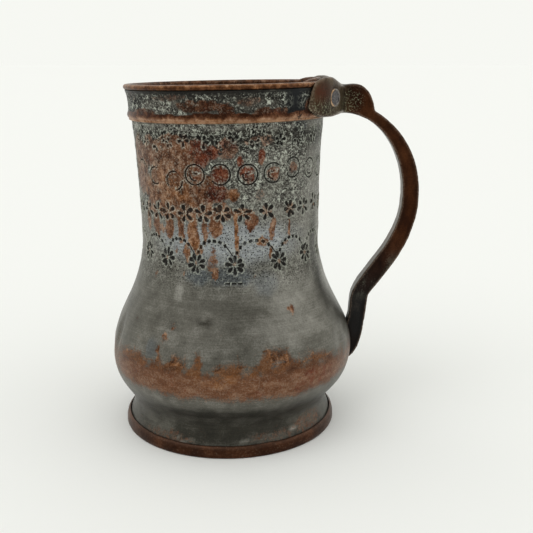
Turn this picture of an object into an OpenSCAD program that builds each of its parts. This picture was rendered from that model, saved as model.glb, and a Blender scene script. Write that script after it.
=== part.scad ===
// Beaten copper mug: a bellied body in two brazed halves, a soldered base,
// a collar round the mouth and a forged handle riveted on at both ends.
// The origin is the centre of the base, +Z is up and the handle is on +X.

/* [Body] */
// Height from the base to the top of the lip
mug_h = 190; // [186:1:200]
// Diameter over the foot ring
foot_d = 120; // [118:1:124]
// Diameter of the waist just above the foot
waist_d = 112; // [108:1:114]
// Height of that waist
waist_z = 16; // [15:0.5:18]
// Diameter at the widest part of the belly
belly_d = 135.5; // [134:0.5:137]
// Height of the widest part of the belly
belly_z = 43; // [42:0.5:44]
// Diameter at the narrowest part of the neck
neck_d = 97.5; // [93:0.5:100]
// Height of the narrowest part of the neck
neck_z = 111; // [107:1:116]
// Diameter of the neck where it runs into the collar
throat_d = 103; // [102:1:104]
// Thickness of the beaten sheet
wall = 1.2; // [0.8:0.1:1.6]

/* [Collar and lip] */
// Height of the collar band, from its lower edge to the lip
collar_h = 15.6; // [14:0.2:17]
// Thickness of the collar band
collar_t = 1.6; // [1.2:0.1:1.8]
// How far the band flares outwards just under the lip
collar_flare = 1.2; // [0.6:0.1:1.4]
// Thickness of the turned-over lip
lip_t = 2.6; // [2:0.1:3.2]

/* [Girth seam] */
// Number of tabs on each half, folded past each other all round the belly
seam_tabs = 24; // [12:1:28]
// Height of the foot of the tabs
seam_z = 52.5; // [51:0.5:56]
// Height of a tab
tab_h = 8; // [5:0.5:10]
// Width of the brass line between the two halves
braze_w = 0.9; // [0.5:0.1:1.2]

/* [Base] */
// Thickness of the base plate
base_t = 1.4; // [1:0.1:1.8]
// Height of the edge that is turned up round the skirt
base_edge_h = 6.6; // [5:0.2:8]

/* [Handle] */
// Thickness of the handle bar from side to side
bar_w = 9; // [8:0.5:10]
// Depth of the handle bar, from its inner to its outer edge
bar_d = 9; // [8:0.5:10]
// Farthest reach of the handle from the axis of the mug
reach = 105; // [102:1:110]
// Height at which the handle reaches out farthest
reach_z = 130; // [124:1:134]
// Half-width of the saddle that wraps the collar
saddle_w = 34; // [30:1:35]
// Height of the saddle
saddle_h = 20.5; // [19:0.5:22]

/* [Rivets] */
// Radius of the rivet shanks
shank_r = 2.4; // [1.8:0.1:2.8]
// Radius of the broad flat heads on the saddle
saddle_head_r = 4.7; // [4:0.1:5.2]
// Radius of the small heads on the foot of the handle
foot_head_r = 3.6; // [3.2:0.1:4]
// Height of the lower rivet through the foot of the handle
foot_rivet_z = 44.5; // [43:0.5:46]
// Distance from that rivet up to the next one
foot_rivet_pitch = 9; // [8.5:0.5:9.5]

/* [Hidden] */
$fn = 180;

// Film of solder or air between two curved faces, and round each shank
film = 0.1;
eps = 0.01;

foot_r = foot_d / 2;
waist_r = waist_d / 2;
belly_r = belly_d / 2;
neck_r = neck_d / 2;
throat_r = throat_d / 2;
lip_z = mug_h - lip_t;
collar_z = lip_z - collar_h;
collar_r = throat_r + film + collar_t;
lip_r = collar_r + collar_flare + 0.8;

// Cheek plate: thickness, outer radius, half-width and how far it stands above the lip
plate_t = 2;
plate_r = throat_r - wall - film;
plate_w = 31;
plate_rise = 3;

// Heights of the saddle's middle, and of the underside and top of the neck behind it
saddle_z = mug_h - 6.5;
neck_low = saddle_z - 9;
neck_high = saddle_z + 5;

// One cubic curve through four control points, without its last point
function bezier(p, t) =
    pow(1 - t, 3) * p[0] + 3 * t * pow(1 - t, 2) * p[1] + 3 * t * t * (1 - t) * p[2] + pow(t, 3) * p[3];
function curve(p, steps) = [for (i = [0 : steps - 1]) bezier(p, i / steps)];
function reverse(list) = [for (i = [len(list) - 1 : -1 : 0]) list[i]];
function grow(line, by) = [for (p = line) [p[0] + by, p[1]]];

// Outside of the sheet from the skirt's lower edge up to the collar
skirt_r = foot_r - base_t - film;
skirt_line = curve([[skirt_r, base_t + film], [skirt_r - 0.4, 7], [waist_r, waist_z - 6], [waist_r, waist_z]], 5);
shoulder_line = curve([[waist_r, waist_z], [waist_r, waist_z + 7], [belly_r, belly_z - 16], [belly_r, belly_z]], 8);
belly_line = curve([[belly_r, belly_z], [belly_r, belly_z + 24], [neck_r, neck_z - 36], [neck_r, neck_z]], 16);
neck_line = curve([[neck_r, neck_z], [neck_r, neck_z + 18], [throat_r - 1, collar_z - 14], [throat_r, collar_z]], 8);
sheet_line = concat(skirt_line, shoulder_line, belly_line, neck_line, [[throat_r, collar_z]]);

// Outside of the collar band, and of the lip above it
collar_line = [
    [throat_r + film, collar_z],
    [throat_r + film + 0.5, collar_z],
    [collar_r + 0.3, collar_z + 1.8],
    [collar_r, collar_z + 3.4],
    [collar_r, collar_z + 8],
    [collar_r + collar_flare, lip_z],
    [throat_r + film, lip_z]
];
lip_line = [
    [throat_r, lip_z],
    [lip_r - 0.7, lip_z],
    [lip_r, lip_z + 0.8],
    [lip_r, mug_h - 1],
    [lip_r - 1, mug_h]
];

module ring(outline) {
    rotate_extrude() polygon(outline);
}

// The whole beaten sheet as if it were one piece, with the lip turned over at its top
module sheet() {
    outside = concat(sheet_line, lip_line);
    inside = concat(grow(sheet_line, -wall), [[throat_r - wall, mug_h - 1], [throat_r - wall + 0.9, mug_h]]);
    ring(concat(outside, reverse(inside)));
}

// Everything inside the outer face of the sheet and the collar, with room for a film round it
module body_space() {
    above = mug_h + saddle_h;
    collar_edge = [for (i = [1 : 5]) collar_line[i] + [film, -film]];
    lip_edge = [[lip_r - 0.7 + film, lip_z - film], [lip_r + film, lip_z + 0.8], [lip_r + film, above]];
    ring(concat([[0, base_t]], grow(sheet_line, film), collar_edge, lip_edge, [[0, above]]));
}

// A row of tabs, one every pitch, that stand between two heights
module tabs(low, high, turn) {
    pitch = 360 / seam_tabs;
    gap = braze_w / belly_r * 180 / PI;
    tab_a = pitch / 2 - gap;
    for (i = [0 : seam_tabs - 1])
        rotate([0, 0, i * pitch + turn - tab_a / 2])
            rotate_extrude(angle = tab_a)
                translate([belly_r - 15, low])
                    square([20, high - low]);
}

module lower_half_space() {
    union() {
        cylinder(h = seam_z - braze_w / 2, r = belly_r + 5);
        tabs(seam_z - 2, seam_z + tab_h - braze_w / 2, 0);
    }
}

module upper_half_space() {
    top = seam_z + tab_h + braze_w / 2;
    union() {
        translate([0, 0, top]) cylinder(h = mug_h + 1 - top, r = belly_r + 5);
        tabs(seam_z + braze_w / 2, top + 2, 180 / seam_tabs);
    }
}

// A full, blunt-ended oval seen along X, centred at one height, that runs out along +X
module rounded_front(half_w, half_h, z) {
    blunt = 0.45;
    rotate([90, 0, 90])
        linear_extrude(height = 80)
            polygon([for (a = [4.5 : 9 : 355.5])
                [half_w * sign(cos(a)) * pow(abs(cos(a)), blunt),
                 z + half_h * sign(sin(a)) * pow(abs(sin(a)), blunt)]]);
}

// Plan of one flank of the saddle: a full curve from the end of its wing to the neck of the handle
wing_r = lip_r + 1;
wing_tip = [sqrt(pow(wing_r, 2) - pow(saddle_w, 2)), saddle_w];
saddle_neck = [63, bar_w / 2 + 0.1];
flank = [wing_tip, wing_tip + [6.3, -5], saddle_neck + [-3.7, 12.4], saddle_neck];

// Where the saddle rivet sits along the flank, and the direction of the flank there
rivet_along = 0.57;
flank_rivet = bezier(flank, rivet_along);
flank_step = bezier(flank, rivet_along + 0.01) - bezier(flank, rivet_along - 0.01);
flank_a = atan2(flank_step[0], -flank_step[1]);
head_t = 1.2;
seat_depth = 1;
seat_play = 0.3;

// Puts children with their +Z along the outward normal of one flank, side is 1 or -1
module at_flank(side) {
    translate([flank_rivet[0], side * flank_rivet[1], saddle_z - 0.5])
        rotate([0, 90, side * flank_a])
            children();
}

module flank_holes() {
    for (side = [-1, 1]) at_flank(side) translate([0, 0, -20]) cylinder(h = 24, r = shank_r + film);
}

// Round seats sunk into the flanks, with a little play round the rivet heads
module flank_seats() {
    for (side = [-1, 1]) at_flank(side) translate([0, 0, -seat_depth]) cylinder(h = 6, r = saddle_head_r + seat_play);
}

// Outer radius of the sheet at one height, and how far it leans in there
function sheet_r(z) = lookup(z, [for (p = sheet_line) [p[1], p[0]]]);
function lean(z) = atan((sheet_r(z - 3) - sheet_r(z + 3)) / 6);

// Each rivet through the foot: its height and how far its head sits from the belly
foot_rivets = [[foot_rivet_z, 4.4], [foot_rivet_z + foot_rivet_pitch, 7.2]];
foot_head_t = 1.6;
rove_t = 1.2;
rove_r = 4;
rove_back = wall + 0.4;

// Puts children on the outside of the belly at one height, with their +Z straight out of the sheet
module at_foot(z) {
    translate([sheet_r(z), 0, z]) rotate([0, 90 - lean(z), 0]) children();
}

module foot_holes() {
    for (rivet = foot_rivets)
        at_foot(rivet[0]) {
            translate([0, 0, -8]) cylinder(h = 25, r = shank_r + film);
            translate([0, 0, rivet[1]]) cylinder(h = 10, r = foot_head_r + film);
        }
}

// Side view of the bar. It runs from under the neck out to its farthest reach, comes back to a bend
// beside the belly, and drops along the belly to a pointed foot.
inner_x = reach - bar_d;
bar_root = [saddle_neck[0] - 3, neck_low];
inner_bend = [belly_r + 0.9, 71];
outer_bend = [belly_r + 10.9, 73];
foot_low = 36;
foot_tip = [belly_r + 1.1, foot_low];
foot_back = [belly_r - 2.5, 54];
bar_inner = concat(
    curve([bar_root, bar_root + [24, 0.5], [inner_x, reach_z + 22], [inner_x, reach_z]], 12),
    curve([[inner_x, reach_z], [inner_x, reach_z - 29], inner_bend + [1.4, 15], inner_bend], 12),
    curve([inner_bend, inner_bend - [0.2, 9], foot_back + [3.1, 5], foot_back], 4),
    [[foot_back[0], foot_low]]
);

// The thumb knop stands on the bar between the neck and a notch behind it
knop_front = [62, neck_high];
knop_notch = [79.4, neck_low + 1];
bar_outer = concat(
    curve([foot_tip, foot_tip + [6.6, 5.5], foot_tip + [7.6, 16], outer_bend], 8),
    curve([outer_bend, outer_bend + [9.4, 13.5], [reach, reach_z - 27], [reach, reach_z]], 12),
    curve([[reach, reach_z], [reach, reach_z + 21], knop_notch + [15, -8.4], knop_notch], 12)
);
thumb_knop = curve([knop_notch, knop_notch + [-2, 15.8], knop_front + [4.5, 2.6], knop_front], 10);

module bar() {
    rotate([90, 0, 0])
        linear_extrude(height = bar_w, center = true)
            polygon(concat(bar_inner, bar_outer, thumb_knop, [[bar_root[0], neck_high]]));
}

// The saddle is where its plan, side view and rounded front view meet
module saddle_plan() {
    end = saddle_neck + [4, -0.4];
    outline = concat([[38, saddle_w]], curve(flank, 8), [saddle_neck, end]);
    mirrored = [for (p = reverse(outline)) [p[0], -p[1]]];
    translate([0, 0, saddle_z - saddle_h]) linear_extrude(height = 2 * saddle_h) polygon(concat(outline, mirrored));
}

module saddle_side() {
    low = saddle_z - saddle_h / 2;
    high = saddle_z + saddle_h / 2;
    inside = 36;
    neck = saddle_neck[0];
    rotate([90, 0, 0])
        linear_extrude(height = 80, center = true)
            polygon([[inside, low], [neck - 9, low], [neck - 2, neck_low - 0.4], [neck + 4, neck_low + 0.6],
                     [neck + 4, neck_high - 0.5], [neck - 0.6, neck_high + 0.1], [neck - 8.5, high], [inside, high]]);
}

module saddle_front() {
    rounded_front(saddle_w, saddle_h / 2 + 0.8, saddle_z);
}

module saddle() {
    intersection() {
        saddle_plan();
        saddle_side();
        saddle_front();
    }
}

module upper_body() {
    color("silver")
        difference() {
            intersection() {
                sheet();
                upper_half_space();
            }
            flank_holes();
        }
}

module collar_band() {
    color("slategray")
        difference() {
            ring(collar_line);
            flank_holes();
        }
}

module seam_braze() {
    color("goldenrod")
        difference() {
            sheet();
            lower_half_space();
            upper_half_space();
        }
}

module lower_body() {
    color("rosybrown")
        difference() {
            intersection() {
                sheet();
                lower_half_space();
            }
            foot_holes();
        }
}

// Flat disc whose edge is beaten up round the outside of the skirt
module base_plate() {
    color("saddlebrown")
        difference() {
            ring([[0, 0], [foot_r - 0.8, 0], [foot_r, 0.8], [foot_r - 0.4, base_edge_h - 1.6],
                  [foot_r - 1.6, base_edge_h], [foot_r - 4, base_edge_h], [foot_r - 4, base_t + 1], [0, base_t + 1]]);
            translate([0, 0, base_t]) cylinder(h = 2, r = skirt_r - wall);
            body_space();
        }
}

// Fillet of solder in the corner between the base plate and the skirt, inside
module base_solder() {
    corner_r = skirt_r - wall - film - 0.2;
    color("lightgray") ring([[corner_r - 4, base_t + film], [corner_r, base_t + film], [corner_r - 0.8, base_t + 3.6]]);
}

module handle() {
    color("saddlebrown")
        difference() {
            union() {
                bar();
                saddle();
            }
            body_space();
            flank_holes();
            flank_seats();
            foot_holes();
        }
}

// Curved cheek inside the mouth that the saddle is riveted against
module rim_backing_plate() {
    color("dimgray")
        difference() {
            intersection() {
                translate([0, 0, saddle_z - 20])
                    difference() {
                        cylinder(h = 40, r = plate_r);
                        translate([0, 0, -1]) cylinder(h = 42, r = plate_r - plate_t);
                    }
                rounded_front(plate_w, mug_h + plate_rise - saddle_z, saddle_z);
            }
            flank_holes();
        }
}

module upper_rivets() {
    tail = 14;
    color("sienna")
        for (side = [-1, 1])
            difference() {
                at_flank(side) {
                    translate([0, 0, -seat_depth]) cylinder(h = head_t, r = saddle_head_r);
                    translate([0, 0, -tail]) cylinder(h = tail - seat_depth + eps, r = shank_r);
                    translate([0, 0, -tail - 0.4]) cylinder(h = 5, r = shank_r + 1.2);
                }
                tail_clearance(side);
            }
}

// Keeps the peened tails of the saddle rivets clear of the wall and the plate that they close on
module tail_clearance(side) {
    difference() {
        cylinder(h = mug_h + 10, r = 60);
        translate([0, 0, -1]) cylinder(h = mug_h + 12, r = plate_r - plate_t - film);
        at_flank(side) translate([0, 0, -20]) cylinder(h = 30, r = shank_r);
        at_flank(side) translate([0, 0, -seat_depth - 1]) cylinder(h = 10, r = saddle_head_r + 1);
    }
}

module lower_rivets() {
    tail = rove_back + rove_t;
    color("sienna")
        for (rivet = foot_rivets)
            at_foot(rivet[0]) {
                translate([0, 0, rivet[1]]) cylinder(h = foot_head_t, r = foot_head_r);
                translate([0, 0, -tail - 1]) cylinder(h = rivet[1] + tail + 1.5, r = shank_r);
                translate([0, 0, -tail - 1.4]) cylinder(h = 1.4, r = shank_r + 1);
            }
}

// Washers that the rivet tails are hammered over, inside the belly
module lower_roves() {
    color("peru")
        for (rivet = foot_rivets)
            at_foot(rivet[0])
                translate([0, 0, -rove_back - rove_t])
                    difference() {
                        cylinder(h = rove_t, r = rove_r);
                        translate([0, 0, -1]) cylinder(h = rove_t + 2, r = shank_r + film);
                    }
}

upper_body();
collar_band();
seam_braze();
lower_body();
base_plate();
base_solder();
handle();
rim_backing_plate();
upper_rivets();
lower_rivets();
lower_roves();
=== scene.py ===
"""A tinned, beaten copper mug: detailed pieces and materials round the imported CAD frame.

Lengths are in millimetres until a mesh is made. Azimuth is measured from the front, -Y, and grows
towards the handle, +X.
"""
import math
import bmesh
import bpy
import numpy as np
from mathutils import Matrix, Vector, noise


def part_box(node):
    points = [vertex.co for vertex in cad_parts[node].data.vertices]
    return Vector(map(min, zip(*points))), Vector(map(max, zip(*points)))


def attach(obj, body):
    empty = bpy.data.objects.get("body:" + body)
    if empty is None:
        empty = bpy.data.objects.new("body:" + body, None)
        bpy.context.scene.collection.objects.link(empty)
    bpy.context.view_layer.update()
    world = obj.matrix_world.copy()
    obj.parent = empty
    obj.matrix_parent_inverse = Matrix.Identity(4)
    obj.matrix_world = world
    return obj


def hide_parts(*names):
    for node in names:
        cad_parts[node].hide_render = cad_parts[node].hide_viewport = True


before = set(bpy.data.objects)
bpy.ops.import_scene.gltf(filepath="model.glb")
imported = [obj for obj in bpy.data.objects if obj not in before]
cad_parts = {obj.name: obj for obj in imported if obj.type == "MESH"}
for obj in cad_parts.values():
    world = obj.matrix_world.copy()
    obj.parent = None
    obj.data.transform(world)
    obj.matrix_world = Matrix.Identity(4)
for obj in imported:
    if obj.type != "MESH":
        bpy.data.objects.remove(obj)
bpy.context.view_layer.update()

MM = 0.001
BODY = "root"
# As in the CAD part: thickness of the sheets and of the base, tabs of the seam and width of its braze.
WALL = 1.2
BASE_T = 1.4
TABS = 24
BRAZE_W = 0.9
# Grids: cells across a tab, height of a row on the sheets, and columns round the collar and the base.
CELLS_PER_TAB = 5
ROW_STEP = 1.7
COLLAR_COLUMNS = 360
BASE_COLUMNS = 288
# Edges of the sheets' outer side are halved when they are this near a struck mark, in two passes.
REFINE_WITHIN = (1.0, 0.42)


# -------- sizes read from the frame

def node_box(node):
    """Lowest and highest corner of a CAD node, in millimetres."""
    low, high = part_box(node)
    return np.array(low) / MM, np.array(high) / MM


def node_points(node):
    """All vertices of a CAD node, in millimetres."""
    return np.array([v.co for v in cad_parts[node].data.vertices]) / MM


def radius_of(points):
    """Distance of each point from the axis."""
    return np.hypot(points[:, 0], points[:, 1])


def azimuth_of(points):
    """Azimuth of each point, in degrees."""
    return np.degrees(np.arctan2(points[:, 0], -points[:, 1]))


def placed(radius, azimuth, z):
    """Points at radii, azimuths in degrees and heights."""
    turn = np.radians(azimuth)
    return np.stack([radius * np.sin(turn), -radius * np.cos(turn), z], axis=-1)


def smooth(value, low, high):
    """Smooth step from 0 at low to 1 at high, which may be lower than low."""
    t = np.clip((value - low) / (high - low), 0, 1)
    return t * t * (3 - 2 * t)


def outward_points(node):
    """Vertices of a CAD node's faces that look away from the axis, in millimetres."""
    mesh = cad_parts[node].data
    kept = set()
    for face in mesh.polygons:
        x, y, _ = face.center
        reach = math.hypot(x, y)
        if face.normal.x * x + face.normal.y * y > 0.5 * reach:
            kept.update(face.vertices)
    return np.array([mesh.vertices[i].co for i in sorted(kept)]) / MM


def evened(values, spread):
    """A row of values evened out over a spread counted in steps."""
    reach = int(3 * spread)
    kernel = np.exp(-0.5 * (np.arange(-reach, reach + 1) / spread) ** 2)
    padded = np.concatenate([np.full(reach, values[0]), values, np.full(reach, values[-1])])
    return np.convolve(padded, kernel / kernel.sum(), mode="valid")


def read_outline(*nodes):
    """Heights, and the sheets' smoothed outer radius at each, read away from the rivet holes on +X."""
    points = np.vstack([outward_points(node) for node in nodes])
    radius = radius_of(points)
    away = np.abs(np.degrees(np.arctan2(points[:, 1], points[:, 0]))) > 14
    height = np.round(points[:, 2], 1)
    levels = np.unique(height[away])
    widest = np.array([radius[away & (height == z)].max() for z in levels])
    fine_z = np.arange(levels[0], levels[-1], 0.25)
    fine_r = np.interp(fine_z, levels, widest)
    soft = smooth(fine_z, 26, 42)
    return fine_z, evened(fine_r, 3) * (1 - soft) + evened(fine_r, 9) * soft


COLLAR_LOW, COLLAR_HIGH = node_box("collar_band")
COLLAR_Z = COLLAR_LOW[2]
LIP_Z = COLLAR_HIGH[2]
TOP_Z = node_box("upper_body")[1][2]
BASE_EDGE_Z = node_box("base_plate")[1][2]
FOOT_R = node_box("base_plate")[1][0]
SEAM_LOW = node_box("seam_braze")[0][2]
SEAM_HIGH = node_box("seam_braze")[1][2]
SKIRT_Z = node_box("lower_body")[0][2]
OUTLINE_Z, OUTLINE_R = read_outline("upper_body", "lower_body")
COLLAR_R = radius_of(node_points("collar_band"))
THROAT_R = COLLAR_R.min() - 0.1
COLLAR_MAX_R = COLLAR_R.max()
LIP_R = COLLAR_MAX_R + 0.7
BELLY_R = OUTLINE_R[OUTLINE_Z < 100].max()


def sheet_r(z):
    """Outer radius of the sheet at a height below the collar."""
    return np.interp(z, OUTLINE_Z, np.minimum(OUTLINE_R, BELLY_R))


def wrap(azimuth):
    """Azimuths brought to between -180 and 180 degrees."""
    return (azimuth + 180) % 360 - 180


def grain(points, size, seed=0.0, octaves=2):
    """Smooth noise between about -1 and 1 at each point, with features of one size in millimetres."""
    shift = Vector((seed * 17.3, seed * 5.1, seed * 9.7))
    return np.array([
        noise.fractal(Vector(p) / size + shift, 1.0, 2.0, octaves) for p in points
    ])


# -------- how the hand-made shape strays

def swelling(z, middle, half):
    """A soft bulge of height 1 round a middle."""
    return smooth(np.abs(z - middle), half, 0)


def stray(points):
    """Moves points as the whole body leans, bulges and tilts by a millimetre or so."""
    x, y, z = points.T
    lean = 1.4 * smooth(z, 14, 34) + 0.6 * swelling(z, 52, 22)
    lean = lean - 0.9 * smooth(z, 95, 160) - 0.2 * smooth(z, 180, 190)
    wider = -0.8 * swelling(z, 13, 9) - 0.4 * swelling(z, 103, 14) - 0.3 * swelling(z, 155, 30)
    scale = 1 + wider / np.maximum(np.hypot(x, y), 20)
    oval = 0.003 * smooth(z, 20, 60)
    moved = points.copy()
    moved[:, 0] = x * scale * (1 + oval) + lean
    moved[:, 1] = y * scale * (1 - oval)
    moved[:, 2] = z + (0.45 + x * math.tan(math.radians(1.0))) * smooth(z, 130, 180)
    return moved


DENTS = [
    # azimuth, height, half width in millimetres, half height, depth
    (-69, 57, 4.5, 11, 1.5),
    (-80, 47, 6, 5, 0.8),
    (-40, 70, 16, 10, 0.5),
    (18, 78, 14, 9, 0.45),
    (62, 55, 8, 7, 0.6),
    (38, 30, 12, 5, 0.5),
    (140, 62, 15, 10, 0.8),
    (-150, 48, 10, 9, 0.7),
    (-120, 96, 12, 14, 0.4),
]


def beaten(points, azimuth, z):
    """Relief of the beaten sheet: planishing marks, a slow wander of the wall and dents."""
    facets = grain(points, 13, 1.0, 1) * 0.16 + grain(points, 6.0, 2.0, 1) * 0.07
    wander = grain(points, 42, 3.0, 1) * 0.35
    relief = (facets + wander) * smooth(z, 4, 16)
    for dent_azimuth, dent_z, half_w, half_h, depth in DENTS:
        across = np.radians(wrap(azimuth - dent_azimuth)) * sheet_r(dent_z)
        away = np.hypot(across / half_w, (z - dent_z) / half_h)
        relief -= depth * smooth(away, 1.3, 0.0)
    return relief


# -------- struck ornament

def row_of(front, count):
    """Azimuths of a whole row: the ones at the front, and even ones that close the row behind."""
    behind = count - len(front)
    gap = (360 - (front[-1] - front[0])) / (behind + 1)
    return list(front) + [front[-1] + gap * (i + 1) for i in range(behind)]


class Stamps:
    """Every recess struck into the neck, as ovals, bars and arcs, each with a size and a depth."""

    def __init__(self):
        self.shapes = []
        self.random = np.random.default_rng(7)

    def add(self, azimuth, z, kind, reach, depth, **facts):
        """Keeps one recess."""
        self.shapes.append(dict(azimuth=azimuth, z=z, kind=kind, reach=reach, depth=depth, **facts))

    def dash(self, azimuth, z, half_l, half_w, turn, depth=0.42, kind="oval"):
        """A short stroke, longest along its turn in degrees from the horizontal."""
        self.add(azimuth, z, kind, half_l, depth, half_w=half_w, turn=math.radians(turn))

    def arc(self, azimuth, z, radius, start, span):
        """A ring punch that bit over a span of degrees only."""
        self.add(azimuth, z, "ring", radius, 0.45, start=start, span=span, half_w=0.42)

    def flower(self, azimuth, z, petals, radius, half_l, half_w, turn, struck_share=1.0):
        """Petals struck one by one round a centre that stays proud. Some may have been missed."""
        for i in range(petals):
            angle = turn + 360 * i / petals + self.random.normal(0, 5)
            if self.random.uniform() > struck_share:
                continue
            away = radius + self.random.normal(0, 0.14)
            off_x = away * math.cos(math.radians(angle))
            off_z = away * math.sin(math.radians(angle))
            self.dash(
                azimuth + math.degrees(off_x / sheet_r(z)), z + off_z,
                half_l * self.random.uniform(0.82, 1.15), half_w * self.random.uniform(0.82, 1.15),
                angle, 0.55 * self.random.uniform(0.75, 1.1),
            )

    def distance(self, azimuth, z):
        """For each point: how far it is outside the nearest recess, and that recess's depth."""
        nearest = np.full(len(z), 9.0)
        depth = np.zeros(len(z))
        order = np.argsort(z)
        sorted_z = z[order]
        for shape in self.shapes:
            room = shape["reach"] + 2.0
            span = np.searchsorted(sorted_z, [shape["z"] - room, shape["z"] + room])
            rows = order[span[0]:span[1]]
            across = np.radians(wrap(azimuth[rows] - shape["azimuth"])) * sheet_r(shape["z"])
            near = np.abs(across) < room
            rows = rows[near]
            gap = self.outside_by(shape, across[near], z[rows] - shape["z"])
            closer = gap < nearest[rows]
            nearest[rows[closer]] = gap[closer]
            depth[rows[closer]] = shape["depth"]
        return nearest, depth

    def outside_by(self, shape, across, up):
        """How far points are outside one recess. across and up are measured from its middle."""
        if shape["kind"] == "ring":
            gap = np.abs(np.hypot(across, up) - shape["reach"]) - shape["half_w"]
            turn = (np.degrees(np.arctan2(up, across)) - shape["start"]) % 360
            return gap + 3.0 * smooth(turn, shape["span"], shape["span"] + 14)
        c, s = math.cos(shape["turn"]), math.sin(shape["turn"])
        along = across * c + up * s
        side = up * c - across * s
        if shape["kind"] == "bar":
            return np.maximum(np.abs(along) - shape["reach"], np.abs(side) - shape["half_w"])
        half_w = shape["half_w"] * (1 + 0.5 * along / shape["reach"])
        return (np.hypot(along / shape["reach"], side / half_w) - 1) * shape["half_w"]


# Rings: azimuth, height, radius, arcs that bit as (start, span), and whether bars cross its middle.
# An arc runs anticlockwise from the side of the handle.
RINGS = [
    (-61, 147.3, 4.8, [(15, 165)], False),
    (-46.3, 145.0, 4.3, [(60, 240)], False),
    (-30.7, 143.4, 4.7, [(70, 150), (275, 90)], False),
    (-17.2, 146.9, 5.0, [(0, 360)], True),
    (-2.3, 147.2, 5.0, [(215, 290)], False),
    (13.4, 147.0, 5.0, [(0, 360)], True),
    (28.7, 147.3, 4.9, [(40, 285)], True),
    (43.2, 149.1, 4.9, [(215, 290)], False),
    (59.6, 147.5, 4.8, [(0, 360)], True),
]
RING_COUNT = 24
RING_Z = 147
RING_R = 4.9
ROSETTE_AZ = row_of([-57, -46, -36.8, -24.6, -13.3, -1.8, 10, 24.7, 41, 53, 66.7], 29)
ROSETTE_Z = 127.8
DAISY_AZ = row_of([-59.5, -39.5, -18.5, 4.7, 32.4, 55.3], 16)
DAISY_Z = 102.4
DAISY_DRIFT = {0: 1.6, 1: 0.6, 2: -0.7, 3: -1.1, 4: -0.2, 5: 1.1}
# A swag of the garland: its height over the daisies, and its dots as shares of its width and its rise.
SWAG_TOP = 11.2
SWAG_DOTS = ((0.05, 0.0), (0.127, 0.47), (0.22, 0.82), (0.35, 0.98), (0.49, 1.0), (0.63, 0.9), (0.76, 0.6))
# Nicks under the middle daisy.
NICKS_AZ = (0.4, 4.0, 7.4)
NICKS_Z = 92.2
LEAF_MARKS = [
    # azimuth, height and size of the part-struck flowers under the collar
    (-63, 163.5, 1.0), (-54, 167.5, 1.4), (-52.5, 162.2, 0.9), (-42.2, 160.2, 1.1), (-36, 165.6, 1.0),
    (-33, 162.4, 0.9), (-23.2, 163.8, 1.2), (-11.8, 163.0, 1.3), (-4.6, 164.6, 1.1), (5.1, 165.6, 1.0),
    (17.4, 162.4, 1.0), (17, 168.6, 0.8), (32.8, 163, 1.1), (45.8, 162.7, 1.0), (60.8, 162.7, 1.1),
]
LEAF_COUNT = 34
LEAF_Z = 163.5


def strike_ornament():
    """Rows, from the collar down: leaf marks, rings, rosettes, garland, daisies and a few nicks."""
    stamps = Stamps()
    rng = np.random.default_rng(3)
    strike_leaves(stamps, rng)
    strike_rings(stamps, rng)
    for azimuth in ROSETTE_AZ:
        z = ROSETTE_Z + 0.02 * wrap(azimuth) * (abs(wrap(azimuth)) < 70) + rng.normal(0, 0.3)
        petals = 6 if rng.uniform() < 0.15 else 5
        stamps.flower(azimuth, z, petals, 2.75, 1.9, 1.0, 90 + rng.normal(0, 12))
    for i, azimuth in enumerate(DAISY_AZ):
        z = DAISY_Z + DAISY_DRIFT.get(i, 0.0)
        stamps.flower(azimuth, z, 8, 3.1, 1.85, 0.92, 90 + rng.normal(0, 8))
        following = DAISY_AZ[(i + 1) % len(DAISY_AZ)]
        strike_swag(stamps, azimuth, following + (360 if following < azimuth else 0), rng)
    for azimuth in NICKS_AZ:
        stamps.dash(azimuth, NICKS_Z, 1.3, 0.55, 0, 0.3, "bar")
    return stamps


def strike_leaves(stamps, rng):
    """The broken top row: flowers of which only some petals were struck, and stray nicks between them."""
    marks = list(LEAF_MARKS)
    first, last = LEAF_MARKS[0][0], LEAF_MARKS[-1][0]
    behind = LEAF_COUNT - len(marks)
    for i in range(behind):
        azimuth = last + (360 - last + first) * (i + 1) / (behind + 1)
        marks.append((azimuth, LEAF_Z + rng.normal(0, 1.5), rng.uniform(0.9, 1.3)))
    for azimuth, z, size in marks:
        stamps.flower(azimuth, z, 5, 1.7 * size, 1.1 * size, 0.62 * size, rng.uniform(0, 72), 0.75)
    for _ in range(90):
        stamps.dash(
            rng.uniform(-180, 180), rng.uniform(159, 170.5), rng.uniform(0.5, 1.0), rng.uniform(0.3, 0.5),
            rng.uniform(0, 180), 0.3,
        )


def strike_rings(stamps, rng):
    """The row of rings, well struck in places and half missed in others."""
    azimuths = row_of([ring[0] for ring in RINGS], RING_COUNT)
    rings = list(RINGS)
    for azimuth in azimuths[len(RINGS):]:
        arcs = [(rng.uniform(0, 360), rng.choice([230, 290, 360]))]
        rings.append((azimuth, RING_Z + rng.normal(0, 0.8), RING_R, arcs, rng.uniform() < 0.4))
    for azimuth, z, radius, arcs, crossed in rings:
        for start, span in arcs:
            stamps.arc(azimuth, z, radius, start, span)
        if crossed:
            stamps.arc(azimuth, z - 0.4, 2.5, rng.uniform(150, 200), 120)
            stamps.dash(azimuth - 0.3, z + 0.7, 1.7, 0.3, rng.uniform(-15, 15), 0.3)


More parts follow.
